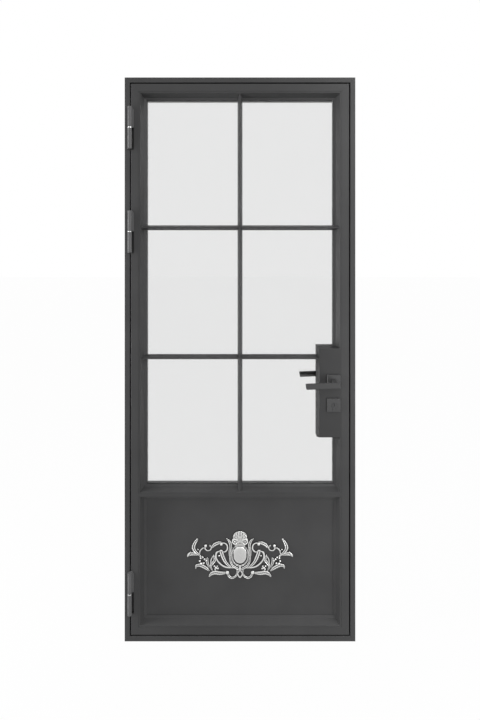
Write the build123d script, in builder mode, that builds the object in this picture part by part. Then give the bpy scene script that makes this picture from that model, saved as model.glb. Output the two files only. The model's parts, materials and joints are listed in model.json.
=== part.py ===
from build123d import *
import os
from math import cos, hypot, pi, sin

os.makedirs("parts", exist_ok=True)

# A glazed steel entrance door with its frame, shown closed.
# Millimetres. X runs right as seen from the front, Y away from the viewer, Z up.
# The origin is the centre of the sill's underside, halfway through the frame's depth.

# Frame: outer size and its formed steel section
FRAME_W = 900.0
FRAME_H = 2200.0
FRAME_DEPTH = 100.0
FRAME_FACE = 20.0
STOP_FACE = 40.0
WALL = 2.0
CORNER_R = 1.5

# Leaf: thickness and the gaps round it
LEAF_T = 60.0
SIDE_GAP = 4.5
TOP_GAP = 4.5
BOTTOM_GAP = 6.0
STOP_GAP = 2.3

# Leaf section, measured inward from the leaf's edge and back from its front
FACE = 29.5
LIP = 6.0
LIP_STEP = 1.0
SPLAY_RUN = 12.0
SPLAY_END = 22.0
STRIP_RUN = 9.0
STRIP_END = 25.0
NOSE_BACK = 26.5
REBATE = 13.5

# Mid rail: its narrow front face, the same splays above and below
MID_RAIL_Z = 571.5
MID_FACE = 9.0
MID_LIP = 5.0

# Double glazing, gaskets and back beads
GASKET_T = 1.5
PANE_T = 4.0
CAVITY_T = 12.0
GLASS_EDGE_GAP = 4.0
SPACER_W = 8.0
SPACER_INSET = 2.0
BEAD_NOSE = 1.6
BEAD_SLOPE = 7.0
BEAD_WALL = 1.4

# Glazing bars laid on the panes
BAR_W = 19.4
BAR_NOSE_W = 5.0
BAR_NOSE_SET = 6.0
BACK_BAR_W = 14.0
BACK_BAR_SET = 3.0
BAR_WALL = 1.5
PANE_LOW_H = 501.5
PANE_HIGH_H = 503.5

# Kick panel: two steel sheets with an insulating core
SHEET_T = 2.0
CORE_T = 18.0

# Lock box: front face, splay and the body that passes through the glass
BOX_REACH = 55.0
BOX_ABOVE = 127.5
BOX_BELOW = 219.5
BOX_SPLAY = 7.0
BOX_BODY_INSET = 14.0
BOX_GLASS_GAP = 3.0

# Lock: spindle and cylinder axes, case, faceplate and bolts
SPINDLE_Z = 1015.5
LOCK_CENTRES = 92.0
BACKSET = 60.5
PLATE_T = 3.0
PLATE_W = 24.0
PLATE_H = 235.0
PLATE_DROP = 50.0
PLATE_LAND = 22.5
CASE_T = 18.0
CASE_WALL = 2.0
CASE_BEHIND = 28.0
CASE_FIT = 1.0
BOLT_T = 12.0
BOLT_H = 30.0
BOLT_L = 34.0
TAIL_T = 4.0
TAIL_H = 10.0
TAIL_L = 9.0
BOLT_FIT = 0.3
LATCH_THROW = 12.0
LATCH_NOSE = 1.0
DEADBOLT_DROP = 47.5
FOLLOWER_R = 11.0
FOLLOWER_HUB_R = 8.0
SPINDLE_W = 8.0
TURN_FIT = 0.3

# Roses, escutcheons and lever handles
ROSE_W = 52.0
ROSE_T = 8.0
ROSE_R = 2.5
ROSE_EDGE = 1.5
NECK_R = 10.0
LEVER_REACH = 118.0
LEVER_HEEL = 11.0
LEVER_H = 22.0
LEVER_T = 9.0
LEVER_OUT = 57.0
LEVER_DROOP = 2.2
LEVER_END_CUT = 2.5
LEVER_HEEL_CUT = 6.0
LEVER_EDGE = 1.8

# Euro profile cylinder
CYL_R = 8.5
CYL_W = 10.0
CYL_H = 33.0
CYL_PROUD = 9.5
PLUG_R = 6.6
PLUG_FIT = 0.1
CAM_T = 9.0
CAM_W = 9.0
CAM_TIP = 13.0
CAM_GAP = 0.5
CAM_ROOM_R = 14.5
KEYWAY_W = 2.2
KEYWAY_H = 8.5
KEYWAY_D = 24.0

# Weld-on lift-off hinges on the viewer's side
HINGE_LOW_Z = 193.0
HINGE_TOP_DROP = 198.5
HINGE_PAIR = 403.5
BARREL_R = 8.0
BARREL_H = 80.0
BARREL_OUT = 9.0
BARREL_OVER_GAP = 2.0
WASHER_T = 3.0
PIN_R = 4.5
PIN_UP = 60.0
PIN_DOWN = 65.0
PIN_FIT = 0.05
WING_W = 13.5
WING_T = 3.0
WING_CUT = 9.0
FRAME_WING_W = 10.0
NOTCH_D = 12.0
NOTCH_CLEAR = 2.0

# Strike plate and its keeps
STRIKE_H = 190.0
KEEP_CLEAR = 1.5

# Countersunk screws
SCREW_R = 2.0
SCREW_HEAD_R = 4.0
SCREW_HEAD_T = 2.4
SCREW_RIM = 0.4
SCREW_L = 10.0
SCREW_INSET = 12.0

# Fixing holes through the jambs into the wall
FIXING_R = 5.5
FIXING_COUNT = 4
FIXING_Z0 = 200.0

# Seal on the stop
SEAL_W = 10.0
SEAL_INSET = 4.0
SEAL_GAP = 0.3

# Cast ornament on the kick panel
ORNAMENT_Z = 321.0
ORNAMENT_T = 5.0
SHIELD_RX = 27.0
SHIELD_RZ = 33.0

# Cuts run past the faces they open by this much
OVER = 1.0

# Places worked out from the driving dimensions
Y_FRONT = -FRAME_DEPTH / 2
Y_STOP = Y_FRONT + LEAF_T + STOP_GAP
Y_LEAF_BACK = Y_FRONT + LEAF_T
Y_LEAF_MID = Y_FRONT + LEAF_T / 2
X_FRAME = FRAME_W / 2
X_LEAF = X_FRAME - FRAME_FACE - SIDE_GAP
Z_LEAF0 = FRAME_FACE + BOTTOM_GAP
Z_LEAF1 = FRAME_H - FRAME_FACE - TOP_GAP
LIP_EDGE = FACE + LIP
SIGHT = LIP_EDGE + SPLAY_RUN + STRIP_RUN
WEB = SIGHT - REBATE
MID_HALF = MID_FACE / 2 + MID_LIP + SPLAY_RUN + STRIP_RUN
MID_WEB = MID_HALF - REBATE
PANE_V = NOSE_BACK + GASKET_T
UNIT_BACK_V = PANE_V + 2 * PANE_T + CAVITY_T
BEAD_V = UNIT_BACK_V + GASKET_T
X_SIGHT = X_LEAF - SIGHT
X_WEB = X_LEAF - WEB
X_GLASS = X_WEB - GLASS_EDGE_GAP
Z_SIGHT0 = MID_RAIL_Z + MID_HALF
Z_SIGHT1 = Z_LEAF1 - SIGHT
Z_GLASS0 = MID_RAIL_Z + MID_WEB + GLASS_EDGE_GAP
Z_GLASS1 = Z_LEAF1 - WEB - GLASS_EDGE_GAP
SPINDLE_X = X_LEAF - BACKSET
CYLINDER_Z = SPINDLE_Z - LOCK_CENTRES
CASE_X0 = SPINDLE_X - CASE_BEHIND
CASE_X1 = X_LEAF - PLATE_T
PLATE_ZC = SPINDLE_Z - PLATE_DROP
PLATE_Z0 = PLATE_ZC - PLATE_H / 2
PLATE_Z1 = PLATE_ZC + PLATE_H / 2
CASE_Z0 = PLATE_Z0 + PLATE_LAND
CASE_Z1 = PLATE_Z1 - PLATE_LAND
LATCH_Z = SPINDLE_Z
DEADBOLT_Z = SPINDLE_Z - DEADBOLT_DROP
BOX_X = SPINDLE_X - BOX_REACH
BOX_Z0 = SPINDLE_Z - BOX_BELOW
BOX_Z1 = SPINDLE_Z + BOX_ABOVE
BAR_LOW_Z = Z_SIGHT0 + PANE_LOW_H
BAR_HIGH_Z = Z_SIGHT1 - PANE_HIGH_H
HINGE_X = -(X_LEAF + BARREL_OVER_GAP)
HINGE_Y = Y_FRONT - BARREL_OUT
HINGE_TOP_Z = FRAME_H - HINGE_TOP_DROP
HINGE_ZS = (HINGE_LOW_Z, HINGE_TOP_Z - HINGE_PAIR, HINGE_TOP_Z)
FIXING_SPACING = (FRAME_H - 2 * FIXING_Z0) / (FIXING_COUNT - 1)


def keep(piece, name):
    """Label a finished piece and write its file."""
    piece.part.label = name
    export_step(piece.part, f"parts/{name}.step")


def facing(y):
    """The plane across the door at depth y, with its normal towards the viewer."""
    return Plane(origin=(0, y, 0), x_dir=(1, 0, 0), z_dir=(0, -1, 0))


def side_plane(side, x, z0, z1):
    """A member's section plane: local x points inward, local y back, and z along it."""
    places = {
        "left": ((-x, Y_FRONT, z0), (1, 0, 0), (0, 0, 1)),
        "right": ((x, Y_FRONT, z1), (-1, 0, 0), (0, 0, -1)),
        "top": ((-x, Y_FRONT, z1), (0, 0, -1), (1, 0, 0)),
        "bottom": ((x, Y_FRONT, z0), (0, 0, 1), (-1, 0, 0)),
    }
    origin, inward, along = places[side]
    return Plane(origin=origin, x_dir=inward, z_dir=along)


def side_length(side, x, z0, z1):
    """The length of a member of a rectangle 2x wide from z0 to z1."""
    return z1 - z0 if side in ("left", "right") else 2 * x


def section(at, points, radius=0.0, rounded=()):
    """A closed outline of straight runs in a section plane, some corners rounded."""
    with BuildSketch(at) as outline:
        with BuildLine():
            Polyline(*points, close=True)
        make_face()
        if radius:
            corners = [
                v
                for v in outline.vertices()
                if any(hypot(v.X - points[i][0], v.Y - points[i][1]) < 1e-6 for i in rounded)
            ]
            fillet(corners, radius)
    return outline.sketch


def mitre(at, length, start=True, end=True):
    """Cut the ends of the member being built at 45 degrees across its width."""
    if start:
        split(bisect_by=Plane(at.origin, at.y_dir, at.z_dir - at.x_dir), keep=Keep.TOP)
    if end:
        far = at.origin + at.z_dir * length
        split(bisect_by=Plane(far, at.y_dir, -at.z_dir - at.x_dir), keep=Keep.TOP)


def block(x0, x1, y0, y1, z0, z1, mode=Mode.SUBTRACT):
    """Add or cut a rectangular block between two corners."""
    with Locations(((x0 + x1) / 2, (y0 + y1) / 2, (z0 + z1) / 2)):
        Box(x1 - x0, y1 - y0, z1 - z0, mode=mode)


def round_along_y(x, z, y0, y1, radius, mode=Mode.SUBTRACT):
    """Add or cut a round bar that runs front to back."""
    with Locations(Location((x, (y0 + y1) / 2, z), (90, 0, 0))):
        Cylinder(radius, abs(y1 - y0), mode=mode)


def round_along_x(x0, x1, y, z, radius, mode=Mode.SUBTRACT):
    """Add or cut a round bar that runs across the door."""
    with Locations(Location(((x0 + x1) / 2, y, z), (0, 90, 0))):
        Cylinder(radius, abs(x1 - x0), mode=mode)


# Outlines of the folded sections
frame_stop_v = Y_STOP - Y_FRONT
frame_outline = (
    (0, 0),
    (FRAME_FACE, 0),
    (FRAME_FACE, frame_stop_v),
    (STOP_FACE, frame_stop_v),
    (STOP_FACE, FRAME_DEPTH),
    (0, FRAME_DEPTH),
)
frame_hollow = (
    (WALL, WALL),
    (FRAME_FACE - WALL, WALL),
    (FRAME_FACE - WALL, frame_stop_v + WALL),
    (STOP_FACE - WALL, frame_stop_v + WALL),
    (STOP_FACE - WALL, FRAME_DEPTH - WALL),
    (WALL, FRAME_DEPTH - WALL),
)
splay_wall = WALL * hypot(SPLAY_RUN, SPLAY_END - LIP_STEP) / (SPLAY_END - LIP_STEP)


def splay_at(v):
    """How far in from the lip the splay has come at depth v."""
    return SPLAY_RUN * (v - LIP_STEP) / (SPLAY_END - LIP_STEP)


leaf_outline = (
    (0, 0),
    (FACE, 0),
    (FACE, LIP_STEP),
    (LIP_EDGE, LIP_STEP),
    (LIP_EDGE + SPLAY_RUN, SPLAY_END),
    (SIGHT, STRIP_END),
    (SIGHT, NOSE_BACK),
    (WEB, NOSE_BACK),
    (WEB, LEAF_T),
    (0, LEAF_T),
)
hollow_top = LIP_STEP + WALL
hollow_low = NOSE_BACK - 2 * WALL
leaf_hollow = (
    (WALL, hollow_top),
    (LIP_EDGE + splay_at(hollow_top) - splay_wall, hollow_top),
    (LIP_EDGE + splay_at(hollow_low) - splay_wall, hollow_low),
    (LIP_EDGE + splay_at(hollow_low) - splay_wall, NOSE_BACK - WALL),
    (WEB - WALL, NOSE_BACK - WALL),
    (WEB - WALL, LEAF_T - WALL),
    (WALL, LEAF_T - WALL),
)
mid_edge = MID_FACE / 2 + MID_LIP
mid_half_outline = (
    (MID_FACE / 2, 0),
    (MID_FACE / 2, LIP_STEP),
    (mid_edge, LIP_STEP),
    (mid_edge + SPLAY_RUN, SPLAY_END),
    (MID_HALF, STRIP_END),
    (MID_HALF, NOSE_BACK),
    (MID_WEB, NOSE_BACK),
    (MID_WEB, LEAF_T),
)
mid_half_hollow = (
    (mid_edge + splay_at(hollow_top) - splay_wall, hollow_top),
    (mid_edge + splay_at(hollow_low) - splay_wall, hollow_low),
    (mid_edge + splay_at(hollow_low) - splay_wall, NOSE_BACK - WALL),
    (MID_WEB - WALL, NOSE_BACK - WALL),
    (MID_WEB - WALL, LEAF_T - WALL),
)


def both_sides(half):
    """Close a half outline with its mirror image."""
    return half + tuple((-u, v) for u, v in reversed(half))


# Frame: two jambs, head and sill, mitred at the corners
FRAME_RECT = (X_FRAME, 0.0, FRAME_H)
strike_z0 = PLATE_ZC - STRIKE_H / 2
strike_z1 = PLATE_ZC + STRIKE_H / 2
x_rebate = X_FRAME - FRAME_FACE
frame_names = {
    "left": "jamb_hinge_side",
    "right": "jamb_lock_side",
    "top": "frame_head",
    "bottom": "frame_sill",
}
for side, name in frame_names.items():
    at = side_plane(side, *FRAME_RECT)
    length = side_length(side, *FRAME_RECT)
    with BuildPart() as frame_member:
        extrude(section(at, frame_outline, CORNER_R, (0, 1, 4, 5)), amount=length)
        extrude(section(at, frame_hollow), amount=length, mode=Mode.SUBTRACT)
        mitre(at, length)
        if side in ("left", "right"):
            out = 1 if side == "right" else -1
            y_fixing = (Y_STOP + FRAME_DEPTH / 2) / 2
            for i in range(FIXING_COUNT):
                z_fixing = FIXING_Z0 + i * FIXING_SPACING
                ends = sorted((out * (X_FRAME - STOP_FACE - OVER), out * (X_FRAME + OVER)))
                round_along_x(*ends, y_fixing, z_fixing, FIXING_R)
        if side == "right":
            plate_ys = (Y_LEAF_MID - PLATE_W / 2, Y_LEAF_MID + PLATE_W / 2)
            block(x_rebate - OVER, x_rebate + PLATE_T, *plate_ys, strike_z0, strike_z1)
    keep(frame_member, name)

# Seal: one soft ring on the stop, just clear of the leaf's back
seal_out = FRAME_FACE + SEAL_INSET
with BuildPart() as frame_seal:
    with BuildSketch(facing(Y_STOP)) as ring:
        with Locations((0, FRAME_H / 2)):
            Rectangle(FRAME_W - 2 * seal_out, FRAME_H - 2 * seal_out)
            inner = seal_out + SEAL_W
            Rectangle(FRAME_W - 2 * inner, FRAME_H - 2 * inner, mode=Mode.SUBTRACT)
    extrude(amount=STOP_GAP - SEAL_GAP)
keep(frame_seal, "frame_seal")


def screw(radius, head_r, head_t, length):
    """A countersunk screw, head face at the origin and shank along -Z."""
    with BuildPart() as fastener:
        with BuildSketch(Plane.XZ) as half:
            with BuildLine():
                Polyline(
                    (0, 0), (head_r, 0), (head_r, -SCREW_RIM), (radius, -head_t),
                    (radius, -length), (0, -length), close=True,
                )
            make_face()
        revolve(axis=Axis.Z)
    return fastener.part


def plate_screws(x, z0, z1, direction):
    """Two screws at the ends of a plate, their heads flush at x, shanks towards +-X."""
    turn = -90 if direction > 0 else 90
    places = [(x, Y_LEAF_MID, z0 + SCREW_INSET), (x, Y_LEAF_MID, z1 - SCREW_INSET)]
    return [Location(place, (0, turn, 0)) for place in places]


def end_plate(x0, z0, z1, windows, screw_places):
    """A flat steel end plate with its bolt windows and screw holes."""
    with BuildPart() as plate:
        plate_ys = (Y_LEAF_MID - PLATE_W / 2, Y_LEAF_MID + PLATE_W / 2)
        block(x0, x0 + PLATE_T, *plate_ys, z0, z1, Mode.ADD)
        for half_y, w0, w1 in windows:
            block(x0 - OVER, x0 + PLATE_T + OVER, Y_LEAF_MID - half_y, Y_LEAF_MID + half_y, w0, w1)
        with Locations(*screw_places):
            add(screw(SCREW_R, SCREW_HEAD_R, SCREW_HEAD_T, SCREW_L), mode=Mode.SUBTRACT)
    return plate


def screw_group(places):
    """The screws of one plate as separate solids."""
    with BuildPart() as group:
        with Locations(*places):
            add(screw(SCREW_R, SCREW_HEAD_R, SCREW_HEAD_T, SCREW_L))
    return group


# Strike plate in the lock jamb, with a keep for the latch and one for the deadbolt
keep_half = BOLT_T / 2 + KEEP_CLEAR
bolt_zs = (LATCH_Z, DEADBOLT_Z)
keep_windows = [
    (keep_half, z - BOLT_H / 2 - KEEP_CLEAR, z + BOLT_H / 2 + KEEP_CLEAR) for z in bolt_zs
]
strike_places = plate_screws(x_rebate, strike_z0, strike_z1, 1)
keep(end_plate(x_rebate, strike_z0, strike_z1, keep_windows, strike_places), "strike_plate")
keep(screw_group(strike_places), "strike_screws")

# Leaf: two stiles, top and bottom rails of one hollow section, mitred at the corners
LEAF_RECT = (X_LEAF, Z_LEAF0, Z_LEAF1)
notch_x1 = HINGE_X + WING_W
leaf_names = {
    "left": "stile_hinge_side",
    "right": "stile_lock_side",
    "top": "top_rail",
    "bottom": "bottom_rail",
}


def notch_z(split_z):
    """The lower and upper end of the notch that clears a hinge's fixed barrel."""
    return split_z - WASHER_T / 2 - BARREL_H - NOTCH_CLEAR, split_z + WASHER_T / 2


def leaf_solid(side):
    """A leaf member without its hollow, for coping what meets it."""
    at = side_plane(side, *LEAF_RECT)
    with BuildPart() as filled:
        extrude(section(at, leaf_outline), amount=side_length(side, *LEAF_RECT))
    return filled.part


for side, name in leaf_names.items():
    at = side_plane(side, *LEAF_RECT)
    length = side_length(side, *LEAF_RECT)
    with BuildPart() as leaf_member:
        extrude(section(at, leaf_outline, CORNER_R, (0, 9)), amount=length)
        extrude(section(at, leaf_hollow), amount=length, mode=Mode.SUBTRACT)
        if side == "left":
            for split_z in HINGE_ZS:
                z0, z1 = notch_z(split_z)
                lining = (notch_x1 + WALL, Y_FRONT + CORNER_R, Y_FRONT + NOTCH_D + WALL)
                block(-X_LEAF + WALL / 2, *lining, z0 - WALL, z1 + WALL, Mode.ADD)
                block(-X_LEAF - OVER, notch_x1, Y_FRONT - OVER, Y_FRONT + NOTCH_D, z0, z1)
        if side == "right":
            case_ys = (Y_LEAF_MID - CASE_T / 2 - CASE_FIT, Y_LEAF_MID + CASE_T / 2 + CASE_FIT)
            case_x1 = X_LEAF - WALL
            block(X_SIGHT - OVER, case_x1, *case_ys, CASE_Z0 - CASE_FIT, CASE_Z1 + CASE_FIT)
            face_ys = (Y_LEAF_MID - PLATE_W / 2, Y_LEAF_MID + PLATE_W / 2)
            block(X_LEAF - PLATE_T, X_LEAF + OVER, *face_ys, PLATE_Z0, PLATE_Z1)
        mitre(at, length)
    keep(leaf_member, name)

# Mid rail, coped to the splays of both stiles
mid_plane = Plane(origin=(X_LEAF, Y_FRONT, MID_RAIL_Z), x_dir=(0, 0, 1), z_dir=(-1, 0, 0))
with BuildPart() as mid_rail:
    extrude(section(mid_plane, both_sides(mid_half_outline)), amount=2 * X_LEAF)
    extrude(section(mid_plane, both_sides(mid_half_hollow)), amount=2 * X_LEAF, mode=Mode.SUBTRACT)
    add(leaf_solid("left"), mode=Mode.SUBTRACT)
    add(leaf_solid("right"), mode=Mode.SUBTRACT)
keep(mid_rail, "mid_rail")

# Lock box: a splayed front shell and a body that stands through the glass
box_foot_x = BOX_X - BOX_SPLAY
box_foot_z0 = BOX_Z0 - BOX_SPLAY
box_foot_z1 = BOX_Z1 + BOX_SPLAY
body_x = box_foot_x + BOX_BODY_INSET
body_z0 = box_foot_z0 + BOX_BODY_INSET
body_z1 = box_foot_z1 - BOX_BODY_INSET
box_x1 = X_LEAF - FACE


def rectangle_at(y, x0, x1, z0, z1):
    """An upright rectangle across the door at depth y."""
    with BuildSketch(facing(y)) as sheet:
        with Locations(((x0 + x1) / 2, (z0 + z1) / 2)):
            Rectangle(x1 - x0, z1 - z0)
    return sheet.sketch


def splayed_shell(y_front, y_foot, y_rim, x1, top):
    """A hollow frustum: small face at y_front, foot at y_foot and a straight rim to y_rim."""
    x0, z0, z1 = top
    foot = (x0 - BOX_SPLAY, x1, z0 - BOX_SPLAY, z1 + BOX_SPLAY)
    step = WALL if y_foot > y_front else -WALL
    with BuildPart() as shell:
        loft([rectangle_at(y_front, x0, x1, z0, z1), rectangle_at(y_foot, *foot)])
        block(*foot[:2], *sorted((y_foot, y_rim)), *foot[2:], Mode.ADD)
        inner = (x0 + WALL, x1 + OVER, z0 + WALL, z1 - WALL)
        inner_foot = (foot[0] + WALL, x1 + OVER, foot[2] + WALL, foot[3] - WALL)
        loft(
            [rectangle_at(y_front + step, *inner), rectangle_at(y_foot, *inner_foot)],
            mode=Mode.SUBTRACT,
        )
    return shell.part


def euro_profile(at, clearance, height=CYL_H):
    """The round-and-tongue outline of a profile cylinder, centred on the plug."""
    radius = CYL_R + clearance
    half = CYL_W / 2 + clearance
    tongue = height - CYL_R - CYL_W / 2
    with BuildSketch(at) as outline:
        with Locations((SPINDLE_X, CYLINDER_Z)):
            Circle(radius)
        with Locations((SPINDLE_X, CYLINDER_Z - tongue)):
            Circle(half)
        with Locations((SPINDLE_X, CYLINDER_Z - tongue / 2)):
            Rectangle(2 * half, tongue)
    return outline.sketch


def cylinder_hole(y0, y1, clearance):
    """Cut a way for the cylinder through the piece being built."""
    extrude(euro_profile(facing(y0), clearance), amount=-(y1 - y0), mode=Mode.SUBTRACT)


y_box_foot = Y_FRONT + STRIP_END
y_box_rim = Y_FRONT + NOSE_BACK
y_cover = Y_FRONT + BEAD_V
with BuildPart() as lock_box:
    add(splayed_shell(Y_FRONT, y_box_foot, y_box_rim, box_x1, (BOX_X, BOX_Z0, BOX_Z1)))
    block(body_x, X_WEB, y_box_rim, y_cover, body_z0, body_z1, Mode.ADD)
    inside = (body_x + WALL, X_WEB + OVER, y_box_foot - WALL, y_cover + OVER)
    block(*inside, body_z0 + WALL, body_z1 - WALL)
    add(leaf_solid("right"), mode=Mode.SUBTRACT)
    round_along_y(SPINDLE_X, SPINDLE_Z, Y_FRONT - OVER, Y_FRONT + 2 * WALL, NECK_R)
    cylinder_hole(Y_FRONT - OVER, Y_FRONT + 2 * WALL, BOLT_FIT)
keep(lock_box, "lock_box")

with BuildPart() as lock_box_cover:
    add(splayed_shell(Y_LEAF_BACK, y_cover + WALL, y_cover, X_WEB, (BOX_X, BOX_Z0, BOX_Z1)))
    block(
        body_x + WALL, X_WEB + OVER, y_cover - OVER, y_cover + 2 * WALL,
        body_z0 + WALL, body_z1 - WALL,
    )
    round_along_y(SPINDLE_X, SPINDLE_Z, Y_LEAF_BACK - 2 * WALL, Y_LEAF_BACK + OVER, NECK_R)
    cylinder_hole(Y_LEAF_BACK - 2 * WALL, Y_LEAF_BACK + OVER, BOLT_FIT)
keep(lock_box_cover, "lock_box_cover")


# Double glazing: two panes, a spacer and a gasket on each face
def notched(y, x1, z0, z1, notch_x, notch_z0, notch_z1):
    """An upright rectangle from -x1 to x1 with a notch in its lock side."""
    with BuildSketch(facing(y)) as sheet:
        with Locations((0, (z0 + z1) / 2)):
            Rectangle(2 * x1, z1 - z0)
        with Locations(((notch_x + x1 + OVER) / 2, (notch_z0 + notch_z1) / 2)):
            Rectangle(x1 + OVER - notch_x, notch_z1 - notch_z0, mode=Mode.SUBTRACT)
    return sheet.sketch


def unit_outline(y, inset=0.0):
    """The double glazed unit's edge, set in by a given amount."""
    notch = (body_x - BOX_GLASS_GAP, body_z0 - BOX_GLASS_GAP, body_z1 + BOX_GLASS_GAP)
    return notched(
        y,
        X_GLASS - inset,
        Z_GLASS0 + inset,
        Z_GLASS1 - inset,
        notch[0] - inset,
        notch[1] - inset,
        notch[2] + inset,
    )


def ring(y, outer_inset, inner, depth):
    """A flat ring between the unit's edge and an inner outline, depth thick."""
    with BuildPart() as band:
        extrude(unit_outline(y, outer_inset), amount=-depth)
        extrude(inner, amount=-depth, mode=Mode.SUBTRACT)
    return band


def daylight(y):
    """The outline of the glass that shows inside the lips and the lock box."""
    return notched(y, X_SIGHT, Z_SIGHT0, Z_SIGHT1, box_foot_x, box_foot_z0, box_foot_z1)


def pane(v):
    """One sheet of glass with its front face at depth v."""
    with BuildPart() as sheet:
        extrude(unit_outline(Y_FRONT + v), amount=-PANE_T)
    return sheet


y_spacer = Y_FRONT + PANE_V + PANE_T
spacer_inner = unit_outline(y_spacer, SPACER_INSET + SPACER_W)
keep(pane(PANE_V), "glass_outer")
keep(pane(PANE_V + PANE_T + CAVITY_T), "glass_inner")
keep(ring(y_spacer, SPACER_INSET, spacer_inner, CAVITY_T), "glass_spacer")
for v, name in ((NOSE_BACK, "gasket_front"), (UNIT_BACK_V, "gasket_back")):
    keep(ring(Y_FRONT + v, 0.0, daylight(Y_FRONT + v), GASKET_T), name)

# Back beads: a folded section round the glass opening, mitred, stopping at the lock box
BEAD_RECT = (X_WEB, MID_RAIL_Z + MID_WEB, Z_LEAF1 - WEB)
bead_outline = (
    (0, BEAD_V),
    (REBATE, BEAD_V),
    (REBATE, BEAD_V + BEAD_NOSE),
    (REBATE - BEAD_SLOPE, LEAF_T),
    (0, LEAF_T),
)
bead_hollow = (
    (BEAD_WALL, BEAD_V + BEAD_WALL),
    (REBATE - 2 * BEAD_WALL, BEAD_V + BEAD_WALL),
    (REBATE - BEAD_SLOPE - BEAD_WALL, LEAF_T - BEAD_WALL),
    (BEAD_WALL, LEAF_T - BEAD_WALL),
)


def bead(side, rect, start, end):
    """One glazing bead of the rectangle, mitred where it meets another bead."""
    at = side_plane(side, *rect)
    length = side_length(side, *rect)
    with BuildPart() as strip:
        extrude(section(at, bead_outline), amount=length)
        extrude(section(at, bead_hollow), amount=length, mode=Mode.SUBTRACT)
        mitre(at, length, start, end)
    return strip


bead_x, bead_z0, bead_z1 = BEAD_RECT
keep(bead("top", BEAD_RECT, True, True), "bead_top")
keep(bead("bottom", BEAD_RECT, True, True), "bead_bottom")
keep(bead("left", BEAD_RECT, True, True), "bead_hinge_side")
keep(bead("right", (bead_x, box_foot_z1, bead_z1), True, False), "bead_lock_side_upper")
keep(bead("right", (bead_x, bead_z0, box_foot_z0), False, True), "bead_lock_side_lower")

# Glazing bars on both faces; the crossbars are coped to the upright
FRONT_BAR = (PANE_V, BAR_NOSE_SET, BAR_W)
BACK_BAR = (UNIT_BACK_V, LEAF_T - BACK_BAR_SET, BACK_BAR_W)


def bar_section(at, glass_v, nose_v, width, inset=0.0):
    """A tapered bar: wide on the glass at glass_v, narrow at its nose at nose_v."""
    way = 1 if nose_v > glass_v else -1
    foot, nose = width / 2 - inset, BAR_NOSE_W / 2 - inset / 2
    low, high = glass_v + way * inset, nose_v - way * inset
    return section(at, ((-foot, low), (foot, low), (nose, high), (-nose, high)))


def bar(at, length, shape, solid=False):
    """A bar of the given shape along a member plane, hollow unless solid."""
    with BuildPart() as stick:
        extrude(bar_section(at, *shape), amount=length)
        if not solid:
            extrude(bar_section(at, *shape, BAR_WALL), amount=length, mode=Mode.SUBTRACT)
    return stick.part


def crossbar_plane(z):
    """The section plane of a level bar at height z."""
    return Plane(origin=(X_LEAF, Y_FRONT, z), x_dir=(0, 0, 1), z_dir=(-1, 0, 0))


upright_plane = Plane(origin=(0, Y_FRONT, MID_RAIL_Z), x_dir=(1, 0, 0), z_dir=(0, 0, 1))
upright_length = Z_LEAF1 - MID_RAIL_Z


def outside_daylight(y0, y1):
    """Everything round the visible glass from depth y0 to y1."""
    with BuildPart() as surround:
        block(-X_FRAME, X_FRAME, y0, y1, MID_RAIL_Z, FRAME_H, Mode.ADD)
        extrude(daylight(y0), amount=y0 - y1, mode=Mode.SUBTRACT)
    return surround.part


def front_edges():
    """What the front bars are coped to: stiles, rails, lock box and gasket."""
    with BuildPart() as mid_filled:
        extrude(section(mid_plane, both_sides(mid_half_outline)), amount=2 * X_LEAF)
    with BuildPart() as box_filled:
        loft(
            [
                rectangle_at(Y_FRONT, BOX_X, X_LEAF, BOX_Z0, BOX_Z1),
                rectangle_at(y_box_foot, box_foot_x, X_LEAF, box_foot_z0, box_foot_z1),
            ]
        )
        block(box_foot_x, X_LEAF, y_box_foot, y_box_rim, box_foot_z0, box_foot_z1, Mode.ADD)
    sides = [leaf_solid(side) for side in ("left", "right", "top")]
    gasket = outside_daylight(y_box_rim, Y_FRONT + PANE_V)
    return sides + [mid_filled.part, box_filled.part, gasket]


def back_edges():
    """What the back bars end at: the edge of the daylight."""
    return [outside_daylight(Y_FRONT + UNIT_BACK_V, Y_LEAF_BACK)]


bar_faces = (("front", FRONT_BAR, front_edges()), ("back", BACK_BAR, back_edges()))
for face_name, shape, edges in bar_faces:
    with BuildPart() as upright:
        add(bar(upright_plane, upright_length, shape))
        for edge in edges:
            add(edge, mode=Mode.SUBTRACT)
    keep(upright, f"bar_{face_name}_upright")
    for level, z in (("lower", BAR_LOW_Z), ("upper", BAR_HIGH_Z)):
        with BuildPart() as crossbar:
            add(bar(crossbar_plane(z), 2 * X_LEAF, shape))
            add(bar(upright_plane, upright_length, shape, solid=True), mode=Mode.SUBTRACT)
            for edge in edges:
                add(edge, mode=Mode.SUBTRACT)
        keep(crossbar, f"bar_{face_name}_{level}")

# Kick panel: front sheet, core, and a back sheet folded into a tray
kick_x = X_WEB - BOLT_FIT
kick_z0 = Z_LEAF0 + WEB + BOLT_FIT
kick_z1 = MID_RAIL_Z - MID_WEB - BOLT_FIT
y_sheet = Y_FRONT + NOSE_BACK
y_core = y_sheet + SHEET_T
y_tray = y_core + CORE_T
for name, y0, y1 in (("front", y_sheet, y_core), ("core", y_core, y_tray)):
    with BuildPart() as layer:
        block(-kick_x, kick_x, y0, y1, kick_z0, kick_z1, Mode.ADD)
    keep(layer, f"kick_panel_{name}")
with BuildPart() as tray:
    block(-kick_x, kick_x, y_tray, Y_LEAF_BACK, kick_z0, kick_z1, Mode.ADD)
    block(
        -kick_x + SHEET_T, kick_x - SHEET_T, y_tray + SHEET_T, Y_LEAF_BACK + OVER,
        kick_z0 + SHEET_T, kick_z1 - SHEET_T,
    )
keep(tray, "kick_panel_back")

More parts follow.
